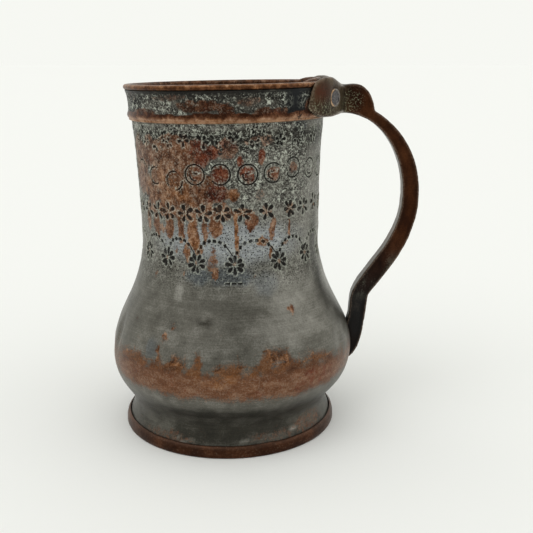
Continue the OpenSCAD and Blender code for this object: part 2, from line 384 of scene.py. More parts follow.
def strike_swag(stamps, start, end, rng):
    """One garland swag between two daisies: dots that climb and turn over, then one long stroke down."""
    width = end - start
    foot = DAISY_Z + 5.2
    top = DAISY_Z + SWAG_TOP
    mm_per_degree = math.radians(1) * sheet_r(top)
    for share, rise in SWAG_DOTS:
        lean = 90 * math.cos(math.pi * min(1, share / 0.98))
        z = foot + (top - foot) * rise
        stamps.dash(start + width * share, z, 0.98, 0.78, lean + rng.normal(0, 6), 0.6, "bar")
    drop = foot - 1.7
    fall_from = foot + (top - foot) * 0.5
    low, high = start + width * 0.955, start + width * 0.8
    across = (low - high) * mm_per_degree
    slope = math.degrees(math.atan2(drop - fall_from, across))
    length = math.hypot(across, fall_from - drop)
    stamps.dash((low + high) / 2, (drop + fall_from) / 2, length / 2, 0.34, slope, 0.4, "bar")


STAMPS = strike_ornament()


def struck(azimuth, z):
    """Height of the struck relief in millimetres, how far down each point is in a recess, and its burr."""
    gap, depth = STAMPS.distance(azimuth, z)
    sunk = smooth(gap, 0.16, -0.22)
    burr = smooth(gap, 0.42, 0.22) * smooth(gap, 0.0, 0.15)
    return 0.14 * burr - depth * sunk, sunk, burr


# -------- colour fields kept on the vertices

# Patches have an azimuth, a height, a half width in degrees, a half height and two more values.
COPPER_PATCHES = [
    # ... strength, and warmth from 0, dark red, through brown to 1, orange
    (-30, 158, 17, 9, 1.1, 0.5),
    (-14, 157, 7, 8, 0.95, 0.12),
    (-50, 157, 9, 9, 0.8, 0.45),
    (-64, 150, 11, 17, 0.85, 0.5),
    (-36, 147, 14, 9, 1.2, 0.62),
    (-24, 150, 8, 8, 1.0, 0.4),
    (-26, 137, 22, 7.5, 1.15, 0.72),
    (-50, 138, 11, 8, 0.9, 0.65),
    (-12, 139, 9, 8, 1.1, 0.45),
    (-4, 138, 6.5, 5.5, 1.0, 0.12),
    (2, 160, 8, 6, 0.6, 0.3),
    (20, 163, 12, 3, 0.5, 0.25),
    (-2.3, 147, 5.4, 4.6, 1.0, 0.15),
    (-17.2, 147, 5.4, 4.6, 0.85, 0.25),
    (13.4, 147, 5.2, 4.6, 0.95, 0.15),
    (28.7, 147, 4.4, 4.0, 0.8, 0.2),
    (43.2, 149, 4, 3.6, 0.6, 0.35),
    (-6, 157.5, 4, 3.4, 1.0, 0.05),
    (9, 153, 2.6, 3.2, 0.95, 0.1),
    (21, 155.5, 2.4, 4.5, 0.9, 0.1),
    (2, 162, 5, 3, 0.5, 0.1),
    (5, 137, 4, 3.2, 0.9, 0.8),
    (20, 137, 4, 3, 0.45, 0.3),
    (-24.6, 128, 9, 5.5, 1.0, 0.6),
    (-38, 128.5, 9, 5, 0.85, 0.6),
    (-52, 128.5, 6, 4.5, 0.6, 0.5),
    (-12, 128.5, 7, 5, 0.9, 0.5),
    (-1.8, 128, 7, 4.5, 1.0, 0.5),
    (10, 128.5, 7, 3.0, 0.85, 0.75),
    (24.7, 128.5, 4, 3, 0.55, 0.4),
    (41, 128.5, 4.5, 3.5, 0.55, 0.5),
    (6.2, 118, 1.5, 13.5, 1.0, 0.95),
    (-20, 117, 4.2, 10, 0.95, 0.8),
    (-17.5, 109, 3, 4, 0.85, 0.85),
    (-6, 121, 4.4, 5.5, 0.95, 0.7),
    (-28, 120, 2.6, 8.5, 0.85, 0.6),
    (-36.5, 120, 3.6, 7.5, 0.8, 0.65),
    (-48, 120, 3.4, 8, 0.75, 0.6),
    (-57, 121, 3.0, 7, 0.7, 0.5),
    (-24.5, 108, 1.6, 7, 0.75, 0.75),
    (-12.5, 118, 1.9, 8, 0.75, 0.7),
    (-25.7, 107, 1.8, 2.6, 0.75, 0.8),
    (-32.2, 108, 1.5, 2.6, 0.7, 0.8),
    (-43, 118, 3.6, 3, 0.6, 0.45),
    (-9, 103, 3.2, 7, 0.55, 0.45),
    (-7, 96.5, 2.2, 2.6, 0.75, 0.7),
    (16.7, 123.8, 2.8, 3, 0.8, 0.45),
    (14.5, 122.5, 3.4, 4.5, 0.95, 0.35),
    (28.5, 119, 2.2, 8, 0.8, 0.6),
    (40.2, 119, 1.3, 5.5, 0.75, 0.55),
    (22, 112.6, 4.4, 2.6, 0.95, 0.8),
    (-8, 106, 2.4, 6, 0.6, 0.6),
    (27, 107, 1.5, 3.6, 0.85, 0.8),
    (37, 111, 2.5, 1.6, 0.55, 0.75),
    (35.5, 77.6, 2.6, 2.9, 0.75, 0.35),
    (-34, 7, 20, 4, 0.34, 0.25),
    (28, 9, 16, 4, 0.3, 0.25),
    (52, 11, 14, 6, 0.42, 0.3),
    (-32, 64.5, 1.7, 2.2, 0.75, 0.8),
    (-33.5, 59, 1.3, 2.2, 0.85, 0.7),
    (-27.3, 70.5, 1.4, 1.6, 0.65, 0.6),
    (-54, 70, 1.4, 1.2, 0.55, 0.3),
    (-48, 94, 2, 2.4, 0.5, 0.5),
    (-27, 96, 1.4, 3, 0.45, 0.4),
    (16, 96, 1.4, 1.6, 0.5, 0.4),
    (120, 152, 26, 10, 0.8, 0.35),
    (170, 137, 24, 12, 0.75, 0.5),
    (-120, 148, 26, 12, 0.85, 0.35),
    (-95, 136, 12, 9, 0.7, 0.5),
    (88, 140, 7, 9, 0.7, 0.45),
    (-150, 114, 3, 13, 0.85, 0.8),
    (150, 112, 2.4, 14, 0.85, 0.8),
    (112, 118, 3, 9, 0.7, 0.6),
    (-108, 112, 2.6, 10, 0.8, 0.7),
]
COPPER_PATCHES += [(a, ROSETTE_Z, 1.2, 1.1, 0.75, 0.6) for a in ROSETTE_AZ]
COPPER_PATCHES += [
    (a, DAISY_Z + DAISY_DRIFT.get(i, 0.0), 1.2, 1.2, 0.75, 0.5) for i, a in enumerate(DAISY_AZ)
]
TONE_PATCHES = [
    # ... strength, and tone from 0, black, to 1, white
    (0, 163.5, 180, 5, 0.85, 0.23),
    (0, 169.6, 180, 1.6, 0.8, 0.60),
    (38, 9.5, 4, 0.9, 0.8, 0.85),
    (-22, 7.6, 9, 0.6, 0.7, 0.75),
    (10, 7.8, 7, 0.5, 0.6, 0.7),
    (-10, 13, 22, 6, 0.7, 0.20),
    (24, 15, 16, 5, 0.6, 0.24),
    (-34, 17, 14, 8, 0.5, 0.42),
    (45, 16, 14, 6, 0.5, 0.38),
    # A dark band along the front of the waist's hollow: painted shade.
    (-14, 25, 30, 3, 0.6, 0.24),
    (28, 24, 30, 3, 0.5, 0.28),
    (150, 16, 40, 8, 0.6, 0.26),
    (-58, 152, 14, 16, 0.5, 0.66),
    (30, 155, 22, 9, 0.6, 0.58),
    (55, 140, 14, 16, 0.8, 0.64),
    (8, 113, 40, 10, 0.85, 0.78),
    (-35, 112, 12, 10, 0.7, 0.74),
    (50, 112, 14, 12, 0.8, 0.66),
    (48, 169.5, 4, 2.4, 0.95, 0.22),
    (2, 96.5, 13, 4.6, 0.75, 0.40),
    (-17, 96, 7, 3.6, 0.6, 0.44),
    (34, 97, 6, 3, 0.5, 0.36),
    (-39, 98, 6, 3, 0.5, 0.38),
    (-28, 86, 3.2, 5, 0.7, 0.72),
    (32, 88, 26, 10, 0.6, 0.66),
    (33, 72, 26, 12, 0.6, 0.63),
    (-62, 78, 16, 22, 0.5, 0.46),
    (-5, 76, 30, 6, 0.65, 0.45),
    (-11, 73, 5, 2, 0.7, 0.26),
    (-16, 62, 24, 6, 0.4, 0.58),
    # A dark upright stripe at azimuth 66, where the handle is reflected: painted reflection.
    (66, 100, 5, 26, 0.85, 0.36),
    (84, 100, 12, 30, 0.6, 0.66),
]
# Darker tin round and under each daisy: painted shade.
TONE_PATCHES += [(a, DAISY_Z - 1, 4.6, 5.5, 0.5, 0.40) for a in DAISY_AZ]
COOL_PATCHES = [
    # ... strength, and how cool, both from 0 to 1
    (2, 96, 14, 5, 1.0, 1.0),
    (-17, 95, 8, 4, 1.0, 1.0),
    (0, 112, 50, 12, 0.65, 1.0),
    (48, 169.5, 5, 3, 1.0, 1.0),
    (22, 92, 8, 6, 0.5, 1.0),
    (-38, 58, 4, 5, 0.6, 1.0),
    (24, 52, 8, 2.5, 0.5, 1.0),
]
# The bare band round the belly: height of its lower edge, and its upper edge as azimuth and height.
BAND_LOW = 36
BAND_EDGE = [
    (-180, 55), (-120, 53), (-75, 55), (-62, 53.5), (-45, 55.5), (-39, 51.5), (-35, 53), (-33, 57),
    (-29.5, 52.5), (-25, 56.8), (-18.5, 56.5), (-16.5, 52), (-15, 60), (-12, 60), (-10.5, 49.8), (-7, 50.5),
    (-4, 54), (2, 55), (5, 57), (8, 53), (13, 54), (16, 62), (18.5, 61), (21.5, 61.5), (27.5, 60), (30, 55),
    (40, 56.5), (47, 55), (55, 51.5), (70, 52), (100, 56), (140, 53), (180, 55),
]


def patch_share(azimuth, z, patch):
    """How far a patch shows at each point, from 0 outside it to its strength within."""
    middle_a, middle_z, half_a, half_h, strength, _ = patch
    away = np.hypot(wrap(azimuth - middle_a) / half_a, (z - middle_z) / half_h)
    return strength * smooth(away, 1.3, 0.6)


def layered(base, azimuth, z, patches):
    """A base value with the patches' own values laid over it, each by its share."""
    value = np.broadcast_to(base, z.shape).astype(float).copy()
    for patch in patches:
        value += patch_share(azimuth, z, patch) * (patch[-1] - value)
    return value


def strongest(azimuth, z, patches):
    """The greatest share of the patches at each point."""
    field = np.zeros(z.shape)
    for patch in patches:
        field = np.maximum(field, patch_share(azimuth, z, patch))
    return field


def sheet_fields(points, azimuth, z, outside):
    """What the sheets' material reads, each about 0 to 1.

    copper: how surely the tin is gone. crisp: how sharp the tin's edge is. warmth: dark red to orange.
    bright: lightness of the copper, with a painted highlight along the top of the lip's roll. tone:
    lightness of the tin. cool: how blue the tin is.
    pit: crackled dirt and pale flecks. dots: fine dark dots.
    """
    frayed_az = azimuth + 1.3 * grain(points, 5, 21.0, 2)
    frayed_z = z + 1.5 * grain(points, 5, 22.0, 2)
    edges = np.array(BAND_EDGE).T
    top = np.interp(frayed_az, edges[0], edges[1])
    low = BAND_LOW + 1.5 * grain(points, 18, 23.0, 1) - 2.0 * swelling(azimuth, 32, 24)
    band = smooth(frayed_z, low - 4.5, low + 4.5) * smooth(frayed_z, top + 4.0, top - 4.0)
    band *= 1 - 0.35 * smooth(np.abs(azimuth), 48, 70)
    finger = smooth(grain(points, 6, 24.0, 1), 0.05, 0.35) * smooth(z, 45, 50)
    bared = band * (0.9 - 0.12 * smooth(z, 46, 54) - 0.3 * finger)
    copper = np.maximum(strongest(frayed_az, frayed_z, COPPER_PATCHES), bared)
    copper = np.maximum(copper, smooth(z, LIP_Z - 1.0, LIP_Z + 0.2))
    warmth = layered(0.35, frayed_az, frayed_z, COPPER_PATCHES)
    golden = 0.42 + 0.45 * smooth(frayed_z, 46, 52) - 0.12 * swelling(azimuth, 40, 25)
    golden += 0.3 * swelling(azimuth, -3, 24) * smooth(frayed_z, 40, 44)
    warmth = warmth * (1 - band) + golden * band
    warmth = np.where(z > LIP_Z - 1.5, 0.78, warmth)
    tone = 0.50 - 0.12 * smooth(z, 33, 25) + 0.06 * smooth(z, 95, 110) - 0.05 * smooth(z, 130, 150)
    tone = layered(tone, frayed_az, frayed_z, TONE_PATCHES)
    pit = smooth(z, 124, 134) * (1 - 0.6 * smooth(azimuth, 48, 62) * smooth(azimuth, 90, 70))
    pit = np.maximum(pit, 0.3 * smooth(z, 82, 98)) * smooth(z, LIP_Z - 0.5, LIP_Z - 1.5)
    pit = np.maximum(pit, 0.32 * band)
    middle = (TOP_Z + LIP_Z) / 2
    # The lip is given darker copper, and its top half is raised again: a painted highlight along the top of
    # the roll.
    bright = 0.53 - 0.17 * smooth(z, LIP_Z - 2, LIP_Z) + 0.2 * smooth(z, middle - 0.2, middle + 0.9)
    bright -= 0.07 * swelling(azimuth, -6, 30) * swelling(z, 148, 26) + 0.04 * smooth(z, 128, 134)
    bright -= 0.13 * smooth(z, 45, 51) * smooth(z, 68, 62)
    dots = smooth(z, 80, 97) * smooth(z, 132, 124) * (1 - 0.75 * smooth(np.abs(azimuth), 46, 60))
    dots = np.maximum(dots, 0.35 * swelling(azimuth, -32, 14) * swelling(z, 69, 12))
    cool = strongest(frayed_az, frayed_z, COOL_PATCHES)
    sides = {
        # name: (outside, inside the mug)
        "copper": (copper, smooth(z, 150, 184)),
        "warmth": (warmth, 0.4),
        "tone": (tone, 0.5),
        "pit": (pit, 0.3),
        "dots": (dots, 0.0),
        "cool": (cool, 0.0),
        "bright": (bright, 0.4),
        "crisp": (0.42 + 0.58 * smooth(z, 68, 88), 1.0),
    }
    return {name: np.where(outside, out, within) for name, (out, within) in sides.items()}


def plain_fields(count, **values):
    """The sheet material's fields for a piece of one even kind, apart from the values given."""
    even = dict(copper=0.0, crisp=1.0, warmth=0.45, bright=0.45, tone=0.45, cool=0.0, pit=0.0, dots=0.0)
    even.update(sunk=0.0, burr=0.0)
    even.update(values)
    return {name: np.broadcast_to(value, count) for name, value in even.items()}


def save_fields(mesh, fields):
    """Stores a number per vertex under each name, for a material to read."""
    for name, values in fields.items():
        layer = mesh.attributes.new(name, "FLOAT", "POINT")
        layer.data.foreach_set("value", np.array(values, dtype=np.float32))


# -------- node material helpers

class Value:
    """A number given out by a node. Sums and products of it are further nodes."""

    def __init__(self, paint, socket):
        self.paint = paint
        self.socket = socket

    def __add__(self, other):
        return self.paint.math("ADD", self, other)

    def __sub__(self, number):
        return self + -number

    def __mul__(self, other):
        return self.paint.math("MULTIPLY", self, other)

    def most(self, other):
        """The larger of two values."""
        return self.paint.math("MAXIMUM", self, other)

    def scaled(self, gain, offset):
        """The value times a gain, plus an offset."""
        return self.paint.math("MULTIPLY_ADD", self, gain, offset)

    def centred(self, gain):
        """Noise brought round zero and scaled."""
        return self.scaled(gain, -gain / 2)

    def range(self, low, high, to_low=0.0, to_high=1.0):
        """Smoothly maps the value from one range to another, and holds it there."""
        node = self.paint.add("MapRange")
        node.interpolation_type = "SMOOTHSTEP"
        self.paint.link(self, node.inputs["Value"])
        limits = {"From Min": low, "From Max": high, "To Min": to_low, "To Max": to_high}
        for name, number in limits.items():
            node.inputs[name].default_value = number
        return Value(self.paint, node.outputs["Result"])

    def ramp(self, stops):
        """The colour at the value, between stops at places from 0 to 1."""
        node = self.paint.add("ValToRGB")
        elements = node.color_ramp.elements
        while len(elements) < len(stops):
            elements.new(0.5)
        for element, (place, colour) in zip(elements, stops):
            element.position = place
            element.color = (*colour, 1)
        self.paint.link(self, node.inputs["Fac"])
        return node.outputs["Color"]


class Paint:
    """Builds one node material, a node per call. Sizes are in millimetres."""

    def __init__(self, name):
        self.material = bpy.data.materials.new(name)
        self.material.use_nodes = True
        self.tree = self.material.node_tree
        self.shader = self.tree.nodes["Principled BSDF"]
        self.place = self.add("TexCoord").outputs["Object"]

    def add(self, kind):
        """A new shader node."""
        return self.tree.nodes.new("ShaderNode" + kind)

    def link(self, value, socket):
        """Joins an output to a socket, or sets the socket's own value."""
        if isinstance(value, Value):
            value = value.socket
        if isinstance(value, bpy.types.NodeSocket):
            self.tree.links.new(value, socket)
        else:
            socket.default_value = value

    def noise(self, size, detail, rough, stretch=(1, 1, 1), bend=0.0):
        """Noise with features of a size, drawn out by a factor along x, y and z."""
        mapping = self.add("Mapping")
        mapping.inputs["Scale"].default_value = [1 / s for s in stretch]
        self.link(self.place, mapping.inputs["Vector"])
        node = self.add("TexNoise")
        node.inputs["Scale"].default_value = 1 / (size * MM)
        node.inputs["Detail"].default_value = detail
        node.inputs["Roughness"].default_value = rough
        node.inputs["Distortion"].default_value = bend
        self.link(mapping.outputs["Vector"], node.inputs["Vector"])
        return Value(self, node.outputs["Fac"])

    def cells(self, size):
        """Distance to scattered points about a size apart."""
        node = self.add("TexVoronoi")
        node.inputs["Scale"].default_value = 1 / (size * MM)
        self.link(self.place, node.inputs["Vector"])
        return Value(self, node.outputs["Distance"])

    def field(self, name):
        """A number kept on the mesh's vertices."""
        node = self.add("Attribute")
        node.attribute_name = name
        return Value(self, node.outputs["Fac"])

    def height(self):
        """Height above the base, in metres."""
        node = self.add("SeparateXYZ")
        self.link(self.place, node.inputs[0])
        return Value(self, node.outputs["Z"])

    def math(self, kind, *values):
        """Any kind of the Math node, of values or plain numbers."""
        node = self.add("Math")
        node.operation = kind
        for value, socket in zip(values, node.inputs):
            self.link(value, socket)
        return Value(self, node.outputs[0])

    def mix(self, share, a, b, kind="MIX"):
        """Two colours mixed by a share from 0 to 1."""
        node = self.add("Mix")
        node.data_type = "RGBA"
        node.blend_type = kind
        self.link(share, node.inputs[0])
        for value, socket in ((a, node.inputs[6]), (b, node.inputs[7])):
            self.link((*value, 1) if isinstance(value, tuple) else value, socket)
        return node.outputs[2]

    def bump(self, height, depth):
        """Bump of a depth."""
        node = self.add("Bump")
        node.inputs["Distance"].default_value = depth * MM
        self.link(height, node.inputs["Height"])
        return node.outputs["Normal"]

    def finish(self, colour, rough, metal, normal):
        """Connects the shader and gives back the material."""
        self.shader.inputs["Specular IOR Level"].default_value = DIRT_SHINE
        self.link(colour, self.shader.inputs["Base Color"])
        self.link(rough, self.shader.inputs["Roughness"])
        self.link(metal, self.shader.inputs["Metallic"])
        self.link(normal, self.shader.inputs["Normal"])
        return self.material


# Dull dirt shines less than paint or glass.
DIRT_SHINE = 0.15
TIN_STOPS = [
    (0.0, (0.006, 0.006, 0.005)),
    (0.3, (0.045, 0.042, 0.034)),
    (0.5, (0.130, 0.124, 0.106)),
    (0.7, (0.290, 0.280, 0.250)),
    (1.0, (0.620, 0.610, 0.570)),
]
RED_STOPS = [
    (0.25, (0.026, 0.006, 0.003)),
    (0.50, (0.120, 0.027, 0.012)),
    (0.75, (0.240, 0.085, 0.045)),
]
BROWN_STOPS = [
    (0.25, (0.034, 0.011, 0.004)),
    (0.50, (0.145, 0.062, 0.031)),
    (0.75, (0.350, 0.220, 0.145)),
]
ORANGE_STOPS = [
    (0.25, (0.056, 0.019, 0.006)),
    (0.50, (0.205, 0.086, 0.034)),
    (0.75, (0.410, 0.245, 0.145)),
]
DIRT = (0.008, 0.007, 0.006)
LIME = (0.480, 0.500, 0.430)
COOL = (0.80, 0.93, 1.16)


def tinned_copper(name, tin_stops=TIN_STOPS, scratched=0.22, tight=1.0, lively=1.05, drawn=(1, 1, 1.4)):
    """Tin rubbed through to copper, with crackled dirt, pale flecks, fine dots, dark struck marks and a
    painted highlight on the marks' burrs.

    scratched: depth of the wiping marks. tight: size of the blotches. lively and drawn: contrast and
    direction of the copper's own pattern.
    """
    p = Paint(name)
    blotch = p.noise(8 * tight, 4, 0.6)
    speck = p.noise(0.8, 3, 0.7)
    mottle = p.noise(1.9 * tight, 5, 0.68, bend=0.6)
    wiping = p.noise(0.6, 2, 0.5, (24, 24, 1))
    # tin
    scratches = wiping.centred(scratched) * (p.field("pit") + 0.4)
    tone = p.field("tone") + blotch.centred(0.35) + speck.centred(0.32) + scratches
    tin = tone.ramp(tin_stops)
    tin = p.mix(p.field("cool") * 0.9, tin, p.mix(1.0, tin, COOL, "MULTIPLY"))
    # copper
    rust = p.field("bright") + p.noise(3.2, 4, 0.65, drawn).centred(lively) + speck.centred(0.6 * lively)
    warm = p.field("warmth") + p.noise(4.5, 3, 0.6).centred(0.8)
    copper = p.mix(warm.range(0.08, 0.42), rust.ramp(RED_STOPS), rust.ramp(BROWN_STOPS))
    copper = p.mix(warm.range(0.55, 0.9), copper, rust.ramp(ORANGE_STOPS))
    frayed = mottle.centred(1.5) + speck.centred(0.8)
    shows = (p.field("copper") + frayed - 0.5) * p.field("crisp")
    shows = shows.range(-0.14, 0.14)
    colour = p.mix(shows, tin, copper)
    # flecks of lime, crackle, pits and dots
    pitted = p.field("pit") * blotch.range(0.34, 0.54, 0.35, 1.0)
    flecks = (mottle + speck.centred(0.8)).range(0.535, 0.58) * pitted * shows.scaled(-0.74, 0.95)
    colour = p.mix(flecks, colour, LIME)
    crackle = p.noise(1.9 * tight, 3, 0.6, bend=1.2)
    crackle = p.math("ABSOLUTE", crackle.centred(1.0)).range(0.05, 0.015) * blotch.range(0.36, 0.52)
    holes = (mottle + speck.centred(0.6)).range(0.455, 0.40)
    dots = p.cells(1.2).range(0.40, 0.22) * speck.range(0.38, 0.48) * p.field("dots")
    dark = (crackle.most(holes) * pitted).most(dots) * shows.scaled(-0.6, 0.95)
    colour = p.mix(dark, colour, DIRT)
    # struck marks: a painted highlight on the burr round each, and dirt in the recesses
    # Pale colour on the burrs is a painted highlight where they would catch the light.
    burr_highlight = p.field("burr") * speck.range(0.42, 0.54, 0.05, 0.75)
    colour = p.mix(burr_highlight, colour, LIME)
    dirt = p.field("sunk").range(0.3, 0.8)
    colour = p.mix(dirt * mottle.range(0.36, 0.5, 0.55, 0.97), colour, DIRT)
    soiled = dirt.most(dark)
    rough = soiled.scaled(0.3, speck.centred(0.5) + 0.4)
    metal = soiled.scaled(-0.6, 0.72)
    grainy = dark.scaled(-0.8, flecks.scaled(0.5, speck))
    return p.finish(colour, rough, metal, p.bump(grainy, 0.12))


def dark_patina(name, stops, speckle):
    """Dark, handled copper with a speckle of its own colour."""
    p = Paint(name)
    speck = p.noise(1.0, 4, 0.7)
    colour = speck.scaled(0.4, p.noise(14, 3, 0.55) * 0.6).ramp(stops)
    colour = p.mix(speck.range(0.56, 0.66) * p.field("residue"), colour, speckle)
    # Lighter where the edge field is set: on the base, a painted highlight along the rim's top with some
    # edge wear.
    colour = p.mix(p.field("edge") * 0.5, colour, (0.24, 0.16, 0.12))
    return p.finish(colour, speck.scaled(0.3, 0.25), 0.7, p.bump(speck, 0.1))


# -------- making pieces

def make_piece(name, points, faces, nodes, material, fields=None):
    """Turns points in millimetres and faces into a shown piece that stands for CAD nodes."""
    mesh = bpy.data.meshes.new(name)
    mesh.from_pydata((np.asarray(points) * MM).tolist(), [], faces)
    mesh.update()
    show_piece(name, mesh, nodes, material, fields or {})


def show_piece(name, mesh, nodes, material, fields):
    """Puts a finished mesh into the scene in place of its CAD nodes."""
    save_fields(mesh, fields)
    mesh.polygons.foreach_set("use_smooth", np.ones(len(mesh.polygons), dtype=bool))
    mesh.set_sharp_from_angle(angle=math.radians(55))
    mesh.materials.clear()
    mesh.materials.append(material)
    piece = bpy.data.objects.new(name, mesh)
    bpy.context.scene.collection.objects.link(piece)
    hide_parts(*nodes)
    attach(piece, BODY)


def around(azimuths, radii, heights):
    """Points for every height and every azimuth: an array of rows x columns x 3."""
    z = np.broadcast_to(np.asarray(heights)[:, None], (len(heights), len(azimuths)))
    return placed(np.asarray(radii)[:, None], np.asarray(azimuths)[None, :], z)


def lathe(profile, columns):
    """Points and faces of a closed outline of (radius, height) turned round the axis."""
    azimuths = np.linspace(0, 360, columns, endpoint=False)
    grid = around(azimuths, profile[:, 0], profile[:, 1])
    rows = len(profile)
    faces = []
    for j in range(rows):
        k = (j + 1) % rows
        for i in range(columns):
            n = (i + 1) % columns
            faces.append((j * columns + i, j * columns + n, k * columns + n, k * columns + i))
    return grid.reshape(-1, 3), faces


def dense(profile, step):
    """An outline with points no farther apart than a step."""
    out = []
    for start, end in zip(profile, np.roll(profile, -1, axis=0)):
        count = max(1, int(np.ceil(np.hypot(*(end - start)) / step)))
        out.extend(start + (end - start) * i / count for i in range(count))
    return np.array(out)


# -------- the beaten sheets and their seam

def sheet_columns():
    """Azimuths of the grid's columns, and the kind of each column between them: tab, gap or finger."""
    pitch = 360 / TABS
    gap = math.degrees(BRAZE_W / (node_box("lower_body")[1][1]))
    tab = pitch / 2 - gap
    cell = tab / CELLS_PER_TAB
    azimuths, kinds = [], []
    for k in range(TABS):
        start = 90 + k * pitch - tab / 2
        for kind, first in (("tab", start), ("finger", start + pitch / 2)):
            azimuths.extend(first + cell * i for i in range(CELLS_PER_TAB))
            kinds.extend([kind] * CELLS_PER_TAB)
            azimuths.append(first + tab)
            kinds.append("gap")
    return np.array(azimuths), np.array(kinds)


def sheet_rows():
    """Heights and radii of the outer and inner faces, paired row by row, from the skirt to the lip."""
    def steps(low, high):
        return np.linspace(low, high, max(2, int(round((high - low) / ROW_STEP)) + 1))
    z = np.concatenate([
        steps(SKIRT_Z, SEAM_LOW)[:-1],
        [SEAM_LOW],
        np.linspace(SEAM_LOW + BRAZE_W, SEAM_HIGH - BRAZE_W, 6),
        [SEAM_HIGH],
        steps(SEAM_HIGH, COLLAR_Z)[1:],
    ])
    outer = [(sheet_r(v), v) for v in z]
    outer += [(THROAT_R, v) for v in (COLLAR_Z + 3, COLLAR_Z + 9, LIP_Z - 0.4)]
    inner = [(r - WALL, v) for r, v in outer]
    middle = (TOP_Z + LIP_Z) / 2
    half = (TOP_Z - LIP_Z) / 2
    outer += [(THROAT_R + 0.1, LIP_Z), ((THROAT_R + LIP_R) / 2, LIP_Z)]
    outer += [
        (LIP_R - half + half * math.cos(math.radians(a)), middle + half * math.sin(math.radians(a)))
        for a in range(-90, 91, 30)
    ]
    outer += [((THROAT_R + LIP_R) / 2 - 0.6, TOP_Z)]
    rise = np.linspace(LIP_Z + 0.2, TOP_Z, len(outer) - len(inner))
    turn = smooth(rise, TOP_Z - 1.4, TOP_Z) ** 2
    inner += [(THROAT_R - WALL + 1.1 * t, v) for t, v in zip(turn, rise)]
    return np.array(outer), np.array(inner)


def seam_cells(kinds, z_low, z_high):
    """Which grid cells belong to the lower sheet, the braze and the upper sheet."""
    middle = ((z_low + z_high) / 2)[:, None]
    tab = (kinds == "tab")[None, :]
    finger = (kinds == "finger")[None, :]
    lower = (middle < SEAM_LOW) | (tab & (middle < SEAM_HIGH - BRAZE_W))
    upper = (middle > SEAM_HIGH) | (finger & (middle > SEAM_LOW + BRAZE_W))
    return lower, ~(lower | upper), upper


def shell(outer, inner, cells):
    """A closed solid sheet made of the chosen cells of a paired grid that closes round the axis."""
    rows, columns = outer.shape[:2]
    count = rows * columns

    def corners(j, i, side):
        n = (i + 1) % columns
        base = side * count
        return (base + j * columns + i, base + j * columns + n,
                base + (j + 1) * columns + n, base + (j + 1) * columns + i)

    faces = []
    for j, i in zip(*np.nonzero(cells)):
        a = corners(j, i, 0)
        b = corners(j, i, 1)
        faces.append(a)
        faces.append(b[::-1])
        beside = (
            (j > 0 and cells[j - 1, i], 0, 1),
            (cells[j, (i + 1) % columns], 1, 2),
            (j + 1 < rows - 1 and cells[j + 1, i], 2, 3),
            (cells[j, i - 1], 3, 0),
        )
        for filled, s, e in beside:
            if not filled:
                faces.append((a[e], a[s], b[s], b[e]))
    points = np.vstack([outer.reshape(-1, 3), inner.reshape(-1, 3)])
    used = np.unique(np.concatenate([np.array(f) for f in faces]))
    renumber = np.full(len(points), -1)
    renumber[used] = np.arange(len(used))
    return points[used], [tuple(int(renumber[v]) for v in f) for f in faces], used < count


def hand_cut(azimuth, z):
    """Wanders the seam's outline, so that no two tabs are alike."""
    near = smooth(z, SEAM_LOW - 9, SEAM_LOW - 1) * smooth(z, SEAM_HIGH + 9, SEAM_HIGH + 1)
    turn = np.radians(azimuth)
    reach = 64
    circle = np.stack([np.cos(turn) * reach, np.sin(turn) * reach, z * 0.25], axis=-1).reshape(-1, 3)
    shift = grain(circle, 9, 5.0, 1).reshape(z.shape)
    rise = grain(circle, 8, 6.0, 1).reshape(z.shape)
    return azimuth + 1.6 * shift * near, z + 1.9 * rise * near


def refine(points, faces, outside):
    """Splits the faces of the outer side near the struck marks twice, so that the marks are real relief."""
    mesh = bpy.data.meshes.new("refining")
    mesh.from_pydata(points.tolist(), [], faces)
    work = bmesh.new()
    work.from_mesh(mesh)
    flag = work.verts.layers.int.new("outside")
    work.verts.ensure_lookup_table()
    for vertex, value in zip(work.verts, outside):
        vertex[flag] = int(value)
    for margin in REFINE_WITHIN:
        edges = [e for e in work.edges if e.verts[0][flag] and e.verts[1][flag]]
        middles = np.array([(e.verts[0].co + e.verts[1].co) / 2 for e in edges])
        low_enough = middles[:, 2] < COLLAR_Z - 1
        gap, _ = STAMPS.distance(azimuth_of(middles), middles[:, 2])
        chosen = [e for e, near in zip(edges, (gap < margin) & low_enough) if near]
        bmesh.ops.subdivide_edges(work, edges=chosen, cuts=1, use_grid_fill=True)
        work.verts.ensure_lookup_table()
        for vertex in work.verts:
            if not vertex[flag]:
                radius = math.hypot(vertex.co.x, vertex.co.y)
                z = vertex.co.z
                vertex[flag] = int(SEAM_HIGH < z < COLLAR_Z and radius > sheet_r(z) - WALL / 2)
    points = np.array([v.co for v in work.verts])
    outside = np.array([bool(v[flag]) for v in work.verts])
    faces = [tuple(v.index for v in f.verts) for f in work.faces]
    work.free()
    bpy.data.meshes.remove(mesh)
    return points, faces, outside


def beat_sheet(points, outside):
    """Final places of a sheet's points, and the fields that its material reads."""
    azimuth = azimuth_of(points)
    z = points[:, 2]
    radius = radius_of(points)
    on_sheet = outside & (z < COLLAR_Z - 0.5)
    radius = np.where(on_sheet, sheet_r(z), radius)
    fade = 1 - smooth(z, COLLAR_Z - 8, COLLAR_Z - 1)
    radius = radius + beaten(points, azimuth, z) * fade
    relief, sunk, burr = struck(azimuth, z)
    radius = np.where(on_sheet, radius + relief, radius)
    fields = sheet_fields(points, azimuth, z, outside)
    fields["sunk"] = np.where(on_sheet, sunk, 0)
    fields["burr"] = np.where(on_sheet, burr, 0)
    return stray(placed(radius, azimuth, z)), fields


